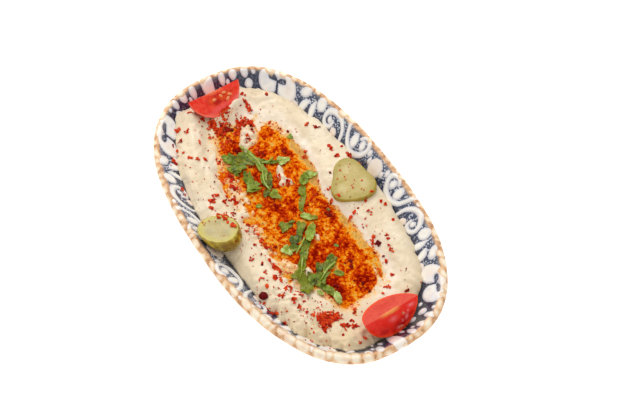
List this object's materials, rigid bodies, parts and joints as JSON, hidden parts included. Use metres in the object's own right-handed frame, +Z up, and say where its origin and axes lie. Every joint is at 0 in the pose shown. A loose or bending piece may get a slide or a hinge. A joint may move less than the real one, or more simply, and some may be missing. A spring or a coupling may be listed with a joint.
{
  "type": "plate of hummus",
  "caption": "Hummus in an oval glazed dish with a blue scroll pattern, topped with olive oil, red pepper flakes, parsley, tomato wedges and pickled cucumber.",
  "frame": {"origin": "on the surface that the dish stands on, under the middle of the dish", "axes": "+X along the dish's length, towards the tomato wedge that lies in the open; +Z up"},
  "size_m": [0.21, 0.1212, 0.0417],
  "materials": {
    "glaze": "glossy glaze with a navy underglaze pattern and a tan lip",
    "hummus": "moist matt chickpea paste",
    "oil": "golden oil stained by paprika",
    "tomato": "wet cut tomato with a glossy skin",
    "pickle": "wet translucent pickled cucumber",
    "pepper_flakes": "dry crushed red pepper and paprika",
    "parsley": "fresh chopped parsley"
  },
  "bodies": {
    "root": {"dish": "glaze", "hummus": "hummus", "olive_oil": "oil", "tomato_wedge_front": "tomato", "tomato_wedge_back": "tomato", "pickle_end": "pickle", "pickle_slice": "pickle"}
  },
  "joints": []
}
